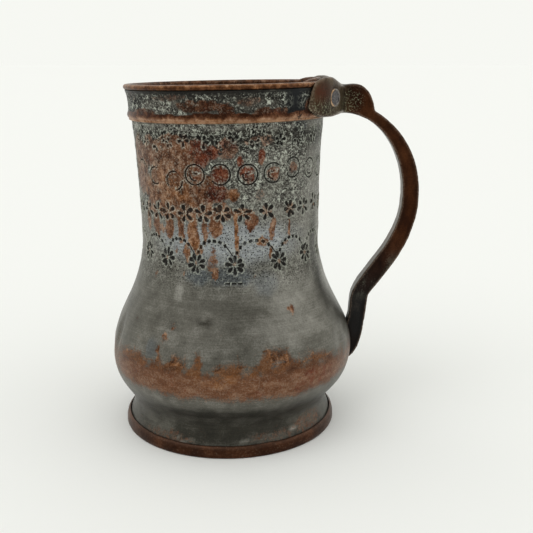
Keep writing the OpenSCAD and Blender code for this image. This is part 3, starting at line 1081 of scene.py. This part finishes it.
def build_sheets():
    """The two beaten sheets and the brass line between them, cut from one grid so that they meet."""
    columns, kinds = sheet_columns()
    outer_rows, inner_rows = sheet_rows()
    lower, braze, upper = seam_cells(kinds, outer_rows[:-1, 1], outer_rows[1:, 1])
    above_lip = outer_rows[:-1, 1] >= LIP_Z - 1
    for cells in (lower, braze, upper):
        cells[above_lip] = cells is upper
    sides = []
    for rows in (outer_rows, inner_rows):
        z = np.repeat(rows[:, 1][:, None], len(columns), axis=1)
        azimuth, moved_z = hand_cut(np.repeat(columns[None, :], len(rows), axis=0), z)
        inset = rows[:, 0][:, None] - sheet_r(rows[:, 1])[:, None]
        radius = np.where(z < COLLAR_Z, sheet_r(moved_z) + inset, rows[:, 0][:, None])
        sides.append(placed(radius, azimuth, moved_z))
    neck = tinned_copper("tin_neck", scratched=0.36, lively=1.25)
    belly = tinned_copper("tin_belly", scratched=0.34, lively=0.46, drawn=(2.2, 2.2, 1))
    pieces = (
        ("upper_body_beaten", upper, "upper_body", "tinned_copper", neck),
        ("lower_body_beaten", lower, "lower_body", "worn_copper", belly),
        ("seam_brass_line", braze, "seam_braze", "braze", tinned_copper("tin_braze")),
    )
    for name, cells, node, slot_name, material in pieces:
        points, faces, outside = shell(sides[0], sides[1], cells)
        if node == "upper_body":
            points, faces, outside = refine(points, faces, outside)
        points, fields = beat_sheet(points, outside)
        if node == "seam_braze":
            fields["copper"] = fields["copper"] + 0.12
            fields["warmth"] = np.ones(len(points))
        make_piece(name, points, faces, [node], material, fields)


# -------- collar and base

COLLAR_STOPS = [
    (0.0, (0.005, 0.005, 0.005)),
    (0.3, (0.018, 0.017, 0.015)),
    (0.5, (0.066, 0.062, 0.052)),
    (0.7, (0.260, 0.245, 0.210)),
    (1.0, (0.600, 0.580, 0.520)),
]
# The collar's patches, like TONE_PATCHES and COPPER_PATCHES.
COLLAR_TONES = [
    (0, 186.4, 180, 1.1, 0.85, 0.22),
    (-66, 180, 9, 6, 0.8, 0.22),
    (42, 179, 8.5, 7.5, 1.0, 0.16),
    (-54, 178, 7, 7, 0.7, 0.24),
    (-38, 180, 18, 3.6, 0.8, 0.62),
    (-5, 179, 20, 3, 0.6, 0.56),
    (20, 180, 10, 3, 0.7, 0.60),
    (57, 181, 6, 5, 0.7, 0.64),
    (-150, 180, 24, 5, 0.7, 0.3),
    (130, 181, 20, 4, 0.6, 0.6),
]
COLLAR_COPPER = [
    (-12, 180, 14, 3.5, 0.74, 0.25),
    (2, 178, 5, 4, 0.85, 0.3),
    (-30, 184, 14, 2, 0.5, 0.3),
    (14, 182, 8, 3, 0.5, 0.3),
    (-50, 176.5, 12, 2.5, 0.75, 0.35),
    (26, 177, 12, 2.2, 0.7, 0.4),
    (53, 177, 5, 6, 0.75, 0.6),
    (-62, 184, 9, 2.5, 0.4, 0.3),
]


def build_collar():
    """The band round the mouth, with a rolled ridge at its lower edge and a flare under the lip."""
    inner_r = THROAT_R + 0.1
    wall_r = COLLAR_MAX_R - 1.2
    profile = np.array([
        [inner_r, COLLAR_Z - 0.3], [inner_r + 0.6, COLLAR_Z - 0.3], [inner_r + 1.3, COLLAR_Z + 0.1],
        [wall_r - 0.5, COLLAR_Z + 0.7], [wall_r + 0.2, COLLAR_Z + 1.5], [wall_r + 0.5, COLLAR_Z + 2.5],
        [wall_r + 0.35, COLLAR_Z + 3.4], [wall_r - 0.05, COLLAR_Z + 4.4],
        [wall_r - 0.25, COLLAR_Z + 6], [wall_r - 0.05, COLLAR_Z + 9], [wall_r + 0.4, COLLAR_Z + 12.5],
        [COLLAR_MAX_R, LIP_Z - 0.3], [COLLAR_MAX_R - 0.3, LIP_Z - 0.05], [inner_r, LIP_Z - 0.05],
    ])
    points, faces = lathe(dense(profile, 1.0), COLLAR_COLUMNS)
    azimuth = azimuth_of(points)
    z = points[:, 2]
    radius = radius_of(points)
    fine = grain(points, 3.0, 9.0, 2) * 0.09 * smooth(z, COLLAR_Z + 3, COLLAR_Z + 6)
    relief = grain(points, 11, 8.0, 1) * 0.12 + fine
    radius = radius + np.where(radius > inner_r + 0.3, relief, 0)
    moved = stray(placed(radius, azimuth, z))
    frayed_az = azimuth + 1.5 * grain(points, 5, 31.0, 2)
    frayed_z = z + 1.0 * grain(points, 4, 32.0, 2)
    ridge_top = COLLAR_Z + 4.3 + 0.6 * grain(points, 9, 33.0, 1)
    ridge = smooth(frayed_z, ridge_top + 0.8, ridge_top - 0.6) * (1 - 0.4 * swelling(azimuth, 43, 9))
    pit = smooth(frayed_z, ridge_top, ridge_top + 1.2) * smooth(z, LIP_Z - 1.0, LIP_Z - 3.0)
    fields = plain_fields(
        len(z),
        copper=np.maximum(ridge, strongest(frayed_az, frayed_z, COLLAR_COPPER)),
        # Lower on the ridge the copper turns more orange and lighter, and darker above: partly the ridge's
        # own bare copper, partly a painted highlight on its lower rounding and painted shade above it.
        warmth=0.36 + 0.42 * smooth(frayed_z, COLLAR_Z + 3.8, COLLAR_Z + 0.8),
        bright=0.30 + 0.38 * smooth(frayed_z, COLLAR_Z + 3.6, COLLAR_Z + 0.6),
        tone=layered(0.44, frayed_az, frayed_z, COLLAR_TONES),
        pit=pit * (1 - swelling(azimuth, 41, 10)),
        cool=swelling(azimuth, 42, 14),
        sunk=0.5 * smooth(z, LIP_Z - 0.9, LIP_Z - 0.2),
    )
    material = tinned_copper("blackened_collar", COLLAR_STOPS, scratched=0.05, tight=1.15)
    outward = [face[::-1] for face in faces]
    make_piece("collar_band_worn", moved, outward, ["collar_band"], material, fields)


def build_base():
    """The bottom disc with its edge beaten up round the skirt."""
    foot = FOOT_R
    profile = np.array([
        [0.0, 0.0], [foot - 1.2, 0.0], [foot - 0.35, 0.25], [foot, 1.0], [foot - 0.1, 3.0],
        [foot - 0.6, BASE_EDGE_Z - 1.2], [foot - 1.2, BASE_EDGE_Z - 0.2], [foot - 1.75, BASE_EDGE_Z - 0.1],
        [foot - 1.55, 3.0], [foot - 1.5, BASE_T], [0.0, BASE_T],
    ])
    path = dense(profile, 2.2)
    path = path[path[:, 0] > 0.5]
    columns = BASE_COLUMNS
    azimuths = np.linspace(0, 360, columns, endpoint=False)
    points = around(azimuths, path[:, 0], path[:, 1]).reshape(-1, 3)
    faces = []
    for j in range(len(path) - 1):
        for i in range(columns):
            n = (i + 1) % columns
            here, above = j * columns, (j + 1) * columns
            faces.append((here + n, above + n, above + i, here + i))
    last = (len(path) - 1) * columns
    points = np.vstack([points, [[0, 0, 0], [0, 0, BASE_T]]])
    for i in range(columns):
        n = (i + 1) % columns
        faces.append((len(points) - 2, n, i))
        faces.append((len(points) - 1, last + i, last + n))
    z = points[:, 2]
    edge = smooth(radius_of(points), foot - 3, foot - 0.5)
    swell = grain(points, 14, 11.0, 1) * 0.22 + grain(points, 4, 12.0, 1) * 0.1
    radius = radius_of(points) + swell * edge * smooth(z, 0, 2)
    lifted = z + np.where(z < 0.1, np.abs(grain(points, 9, 13.0, 1)) * 0.15 * (1 - edge), 0)
    lifted += grain(points, 10, 14.0, 1) * 0.5 * smooth(z, 5, BASE_EDGE_Z) * edge
    moved = stray(placed(radius, azimuth_of(points), lifted))
    # edge: lighter towards the top of the turned-up rim, a painted highlight along it with some edge wear.
    fields = {"residue": 0.5 * edge, "edge": 0.35 * smooth(z, 4.5, BASE_EDGE_Z) * edge}
    stops = [(0.3, (0.008, 0.003, 0.002)), (0.5, (0.045, 0.016, 0.007)), (0.72, (0.150, 0.060, 0.028))]
    material = dark_patina("base_patina", stops, (0.10, 0.085, 0.065))
    make_piece("base_plate_beaten", moved, faces, ["base_plate"], material, fields)


# -------- handle, cheek and rivets

def forged_copy(node, name, bevel, voxel, rounds):
    """A CAD node's shape with its edges filed off and its surface evened out, as a new mesh."""
    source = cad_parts[node]
    work = bmesh.new()
    work.from_mesh(source.data)
    bmesh.ops.remove_doubles(work, verts=work.verts, dist=1e-6)
    bmesh.ops.dissolve_limit(work, angle_limit=math.radians(2), verts=work.verts, edges=work.edges)
    mesh = bpy.data.meshes.new(name)
    work.to_mesh(mesh)
    work.free()
    temp = bpy.data.objects.new(name + "_work", mesh)
    bpy.context.scene.collection.objects.link(temp)
    cut = temp.modifiers.new("edges", "BEVEL")
    cut.width = bevel * MM
    cut.segments = 2
    cut.limit_method = "ANGLE"
    cut.angle_limit = math.radians(38)
    skin = temp.modifiers.new("skin", "REMESH")
    skin.mode = "VOXEL"
    skin.voxel_size = voxel * MM
    even = temp.modifiers.new("even", "SMOOTH")
    even.factor = 0.5
    even.iterations = rounds
    depsgraph = bpy.context.evaluated_depsgraph_get()
    result = bpy.data.meshes.new_from_object(temp.evaluated_get(depsgraph))
    bpy.data.objects.remove(temp)
    return result


def mesh_arrays(mesh):
    """Vertices and normals of a mesh, in millimetres."""
    count = len(mesh.vertices)
    points = np.empty(count * 3)
    normals = np.empty(count * 3)
    mesh.vertices.foreach_get("co", points)
    mesh.vertices.foreach_get("normal", normals)
    return points.reshape(-1, 3) / MM, normals.reshape(-1, 3)


def move_points(mesh, points):
    """Puts a mesh's vertices at points in millimetres."""
    mesh.vertices.foreach_set("co", (points * MM).ravel())
    mesh.update()


def edge_ends(mesh):
    """Both ends of every edge of a mesh, as two arrays."""
    pairs = np.empty(len(mesh.edges) * 2, dtype=int)
    mesh.edges.foreach_get("vertices", pairs)
    return pairs.reshape(-1, 2).T


def neighbours_mean(ends, values):
    """The mean of each vertex's neighbours, for one number or one point a vertex."""
    total = np.zeros(values.shape)
    count = np.zeros(len(values))
    for start, end in (ends, ends[::-1]):
        np.add.at(total, start, values[end])
        np.add.at(count, start, 1)
    count = np.maximum(count, 1)
    return total / (count[:, None] if values.ndim > 1 else count)


def relaxed(ends, values, weight, rounds):
    """Values drawn towards their neighbours', by a weight from 0 to 1, round after round."""
    weight = weight[:, None] if values.ndim > 1 else weight
    for _ in range(rounds):
        values = values + weight * (neighbours_mean(ends, values) - values)
    return values


def edge_field(ends, points, normals, rounds):
    """How sharply each vertex stands out from its neighbours, evened out over a few rounds."""
    pull = neighbours_mean(ends, points) - points
    sharp = -np.sum(pull * normals, axis=1)
    return relaxed(ends, sharp, np.full(len(sharp), 0.6), rounds)


# Places on the handle: joint of saddle and knop, middle of the flank, knop, and a red patch by the rim.
JOINT_X = 65.5
FLANK_Y, FLANK_Z = 21, 183.5
KNOP_X, KNOP_Z = 67, 181
RED_X, RED_Z = 48, 186


def build_handle():
    """The forged handle: grey, rounded saddle, glossy knop and a bar that blackens downwards."""
    mesh = forged_copy("handle", "handle_forged", 1.1, 0.5, 5)
    points, _ = mesh_arrays(mesh)
    ends = edge_ends(mesh)
    on_saddle = smooth(points[:, 0], 68, 62) * smooth(points[:, 2], 160, 166)
    points = relaxed(ends, points, 0.6 * on_saddle, 22)
    joint = smooth(np.abs(points[:, 0] - JOINT_X), 6.5, 2.0) * smooth(points[:, 2], 162, 170)
    points = relaxed(ends, points, 0.7 * joint, 45)
    move_points(mesh, points)
    points, normals = mesh_arrays(mesh)
    sharp = edge_field(ends, points, normals, 3)
    x, y, z = points.T
    from_flank = np.hypot(np.abs(y) - FLANK_Y, z - FLANK_Z)
    dome = swelling(from_flank, 0, 14) * smooth(normals[:, 0], 0.3, 0.7) * on_saddle
    relief = grain(points, 8, 15.0, 2) * 0.14 + grain(points, 2.4, 16.0, 1) * 0.04 + 0.9 * dome
    move_points(mesh, points + normals * relief[:, None])
    knop = smooth(np.hypot(x - KNOP_X, z - KNOP_Z), 8, 3.5)
    red = swelling(np.hypot(x - RED_X, z - RED_Z), 0, 9) * smooth(normals[:, 0], 0.2, 0.6)
    bar = smooth(z, 176, 168)
    fields = {
        "saddle": on_saddle,
        "residue": np.clip(on_saddle * smooth(z, 186, 178) + 0.9 * knop, 0, 1),
        "red": on_saddle * red,
        "edge": smooth(sharp, 0.004, 0.03),
        "shade": bar * smooth(edge_field(ends, points, normals, 26), 0.0005, 0.005),
        # inner: the bar's inner face, where a pale reflection of the surroundings is painted.
        "inner": smooth(normals[:, 0], -0.55, -0.85) * bar * smooth(z, 66, 74),
        "ash": swelling(z, 84, 16) * smooth(x, 66, 72),
    }
    show_piece("handle_forged", mesh, ["handle"], handle_patina(), fields)


def handle_patina():
    """Dark red-brown copper, blackened towards the foot and grey-brown with green specks on the saddle."""
    p = Paint("handle_patina")
    speck = p.noise(0.9, 4, 0.7)
    blotch = p.noise(11, 3, 0.55, (1, 1, 1.8))
    tone = speck.scaled(0.3, blotch * 0.7)
    brown = tone.ramp([
        (0.30, (0.008, 0.002, 0.001)), (0.48, (0.034, 0.010, 0.003)), (0.70, (0.100, 0.035, 0.012)),
    ])
    black = tone.ramp([
        (0.30, (0.003, 0.004, 0.004)), (0.55, (0.012, 0.012, 0.012)), (0.80, (0.060, 0.050, 0.042)),
    ])
    grey = tone.ramp([
        (0.30, (0.010, 0.006, 0.003)), (0.50, (0.040, 0.025, 0.013)), (0.72, (0.150, 0.112, 0.066)),
    ])
    low = p.height().range(0.112, 0.066) * blotch.range(0.3, 0.6, 0.75, 1.0)
    colour = p.mix(low, brown, black)
    ash = p.field("ash") * (blotch + speck.centred(0.7)).range(0.47, 0.60)
    colour = p.mix(ash * 0.8, colour, (0.115, 0.120, 0.095))
    colour = p.mix(p.field("shade") * 0.3, colour, (0.004, 0.003, 0.002))
    colour = p.mix(p.field("saddle"), colour, grey)
    colour = p.mix(p.field("red") * speck.range(0.3, 0.55), colour, (0.062, 0.018, 0.008))
    green = speck.range(0.53, 0.62) * p.field("residue")
    colour = p.mix(green * 0.75, colour, (0.270, 0.280, 0.180))
    # Lighter along the sharp edges: a painted highlight where they would catch the light, together with
    # edge wear.
    highlight_and_wear = p.field("edge") * speck.range(0.35, 0.6)
    colour = p.mix(highlight_and_wear * 0.55, colour, (0.270, 0.200, 0.155))
    # Grey on the bar's inner face: a painted reflection of the pale surroundings.
    colour = p.mix(p.field("inner") * 0.6, colour, (0.130, 0.115, 0.095))
    return p.finish(colour, speck.scaled(0.25, 0.22), 0.75, p.bump(speck, 0.08))


def build_cheek():
    """The curved plate inside the mouth."""
    mesh = forged_copy("rim_backing_plate", "rim_backing_plate_worn", 0.4, 0.4, 4)
    fields = plain_fields(len(mesh.vertices), copper=0.7)
    material = tinned_copper("cheek_tin")
    show_piece("rim_backing_plate_worn", mesh, ["rim_backing_plate"], material, fields)


# Saddle rivets: angle of their axes from +X, and the heads' thickness, tilt, lift and dish.
RIVET_TURN = math.radians(30.7)
HEAD_T = 0.8
HEAD_TILT = math.radians(7)
HEAD_LIFT = 0.45
HEAD_DISH = 0.45


def build_saddle_rivets():
    """The two rivets of the saddle. Their broad heads tilt outwards and are dished inside a raised rim."""
    mesh = forged_copy("upper_rivets", "upper_rivets_dished", 0.3, 0.3, 2)
    points, _ = mesh_arrays(mesh)
    rim = np.zeros(len(points))
    highlight_and_wear = np.zeros(len(points))
    for side in (-1, 1):
        out = np.array([math.cos(RIVET_TURN), side * math.sin(RIVET_TURN), 0])
        along = np.array([-math.sin(RIVET_TURN), side * math.cos(RIVET_TURN), 0])
        depth = points @ out
        mine = points[:, 1] * side > 0
        head = mine & (depth > depth[mine].max() - HEAD_T)
        middle = points[head].mean(axis=0)
        away = points - middle
        radius = np.linalg.norm(away - np.outer(away @ out, out), axis=1)
        points -= np.outer(head * HEAD_DISH * smooth(radius, 3.9, 3.2), out)
        across = away @ along
        points += np.outer(head * across * (math.cos(HEAD_TILT) - 1), along)
        points += np.outer(head * (HEAD_LIFT - across * math.sin(HEAD_TILT)), out)
        # The raised rim is painted pale, and one side of it bright copper: painted highlights, with some
        # rubbed copper.
        rim = np.maximum(rim, head * smooth(radius, 3.5, 4.0))
        highlight_and_wear = np.maximum(highlight_and_wear, head * smooth(across, 0.0, 2.5))
    move_points(mesh, points)
    fields = {"rim": rim, "highlight_and_wear": highlight_and_wear}
    show_piece("upper_rivets_dished", mesh, ["upper_rivets"], rivet_heads(), fields)


def rivet_heads():
    """Grey inside the rim. The rim is painted pale, and bright copper on one side: painted highlights, with
    some rubbed copper.
    """
    p = Paint("saddle_rivet_heads")
    speck = p.noise(1.0, 4, 0.7)
    grey = speck.ramp([
        (0.3, (0.020, 0.018, 0.018)), (0.5, (0.085, 0.080, 0.082)), (0.7, (0.200, 0.185, 0.180)),
    ])
    bright = speck.ramp([
        (0.3, (0.180, 0.080, 0.030)), (0.5, (0.420, 0.260, 0.140)), (0.7, (0.600, 0.480, 0.360)),
    ])
    pale = speck.ramp([
        (0.3, (0.060, 0.052, 0.045)), (0.5, (0.180, 0.160, 0.140)), (0.7, (0.330, 0.310, 0.270)),
    ])
    colour = p.mix(p.field("rim"), grey, p.mix(p.field("highlight_and_wear"), pale, bright))
    return p.finish(colour, speck.scaled(0.3, 0.22), 0.75, p.bump(speck, 0.08))


def build_foot_rivets():
    """Foot rivets and roves whose inner ends follow the beaten wall and whose heads stay on the handle."""
    stops = [(0.3, (0.012, 0.006, 0.004)), (0.5, (0.050, 0.024, 0.014)), (0.75, (0.140, 0.080, 0.050))]
    copper = dark_patina("rivet_patina", stops, (0.2, 0.2, 0.17))
    for node in ("lower_rivets", "lower_roves"):
        points = node_points(node)
        inner = smooth(points[:, 0], 72, 68)[:, None]
        seated = points + inner * (stray(points) - points)
        faces = [tuple(face.vertices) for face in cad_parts[node].data.polygons]
        make_piece(node + "_seated", seated, faces, [node], copper)


def dress_cad_nodes():
    """A material for the CAD node whose plain shape stays."""
    stops = [(0.3, (0.08, 0.08, 0.08)), (0.5, (0.2, 0.2, 0.2)), (0.75, (0.4, 0.4, 0.4))]
    solder = dark_patina("solder_grey", stops, (0.5, 0.5, 0.5))
    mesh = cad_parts["base_solder"].data
    mesh.materials.clear()
    mesh.materials.append(solder)


# -------- floor, light and camera

PALE = (0.928, 0.938, 0.893)
FLOOR_PALE = (0.855, 0.857, 0.850)
# Half the floor's width and the camera's place, in metres.
FLOOR_HALF = 60.0
CAMERA_AT = (0.0213, -0.446, 0.201)
CAMERA_DIP = math.radians(14.15)


def build_stage():
    """A wide pale floor, of the same pale tone as the sky behind it."""
    mesh = bpy.data.meshes.new("floor")
    half = FLOOR_HALF
    corners = [(-half, -half, 0), (half, -half, 0), (half, half, 0), (-half, half, 0)]
    mesh.from_pydata(corners, [], [(0, 1, 2, 3)])
    floor = bpy.data.objects.new("floor", mesh)
    material = bpy.data.materials.new("floor_paper")
    material.use_nodes = True
    shader = material.node_tree.nodes["Principled BSDF"]
    shader.inputs["Base Color"].default_value = (*FLOOR_PALE, 1)
    shader.inputs["Roughness"].default_value = 1.0
    shader.inputs["Specular IOR Level"].default_value = 0.0
    mesh.materials.append(material)
    bpy.context.scene.collection.objects.link(floor)
    build_sky()
    bpy.context.scene.view_settings.view_transform = "Standard"


def build_sky():
    """An even pale sky. The metal reflects a studio that is dimmer in front than at the sides."""
    world = bpy.data.worlds.new("pale_sky")
    world.use_nodes = True
    tree = world.node_tree
    even = tree.nodes["Background"]
    even.inputs["Color"].default_value = (*PALE, 1)
    even.inputs["Strength"].default_value = 1.0
    studio = tree.nodes.new("ShaderNodeBackground")
    studio.inputs["Color"].default_value = (*PALE, 1)
    direction = tree.nodes.new("ShaderNodeTexCoord").outputs["Generated"]
    parts = tree.nodes.new("ShaderNodeSeparateXYZ")
    tree.links.new(direction, parts.inputs[0])
    depth = tree.nodes.new("ShaderNodeMapRange")
    depth.interpolation_type = "SMOOTHSTEP"
    for socket, number in {"From Min": -0.9, "From Max": 0.35, "To Min": 0.42, "To Max": 1.0}.items():
        depth.inputs[socket].default_value = number
    tree.links.new(parts.outputs["Y"], depth.inputs["Value"])
    tree.links.new(depth.outputs["Result"], studio.inputs["Strength"])
    rays = tree.nodes.new("ShaderNodeLightPath")
    both = tree.nodes.new("ShaderNodeMixShader")
    tree.links.new(rays.outputs["Is Glossy Ray"], both.inputs[0])
    tree.links.new(even.outputs[0], both.inputs[1])
    tree.links.new(studio.outputs[0], both.inputs[2])
    tree.links.new(both.outputs[0], tree.nodes["World Output"].inputs["Surface"])
    bpy.context.scene.world = world


def soft_sun(name, place, spread, power):
    """A very wide soft light that shines on the whole scene evenly from the side of a place."""
    data = bpy.data.lights.new(name, "SUN")
    data.angle = math.radians(spread)
    data.energy = power
    lamp = bpy.data.objects.new(name, data)
    lamp.location = place
    lamp.rotation_euler = (-Vector(place)).to_track_quat("-Z", "Y").to_euler()
    bpy.context.scene.collection.objects.link(lamp)


def build_lights():
    """A key light from the left and a weaker fill from the right."""
    soft_sun("key", (-0.7, -0.7, 1.1), 50, 0.52)
    soft_sun("fill", (1.1, -0.5, 0.8), 60, 0.23)


def build_camera():
    """The camera a little above the lip, in front and slightly towards the handle."""
    data = bpy.data.cameras.new("camera")
    data.lens = 54.9
    data.sensor_width = 36
    data.clip_start = 0.01
    camera = bpy.data.objects.new("camera", data)
    camera.location = CAMERA_AT
    camera.rotation_euler = (math.radians(90) - CAMERA_DIP, 0, 0)
    bpy.context.scene.collection.objects.link(camera)
    bpy.context.scene.camera = camera


build_camera()
build_stage()
build_lights()
build_sheets()
build_collar()
build_base()
build_handle()
build_cheek()
build_saddle_rivets()
build_foot_rivets()
dress_cad_nodes()
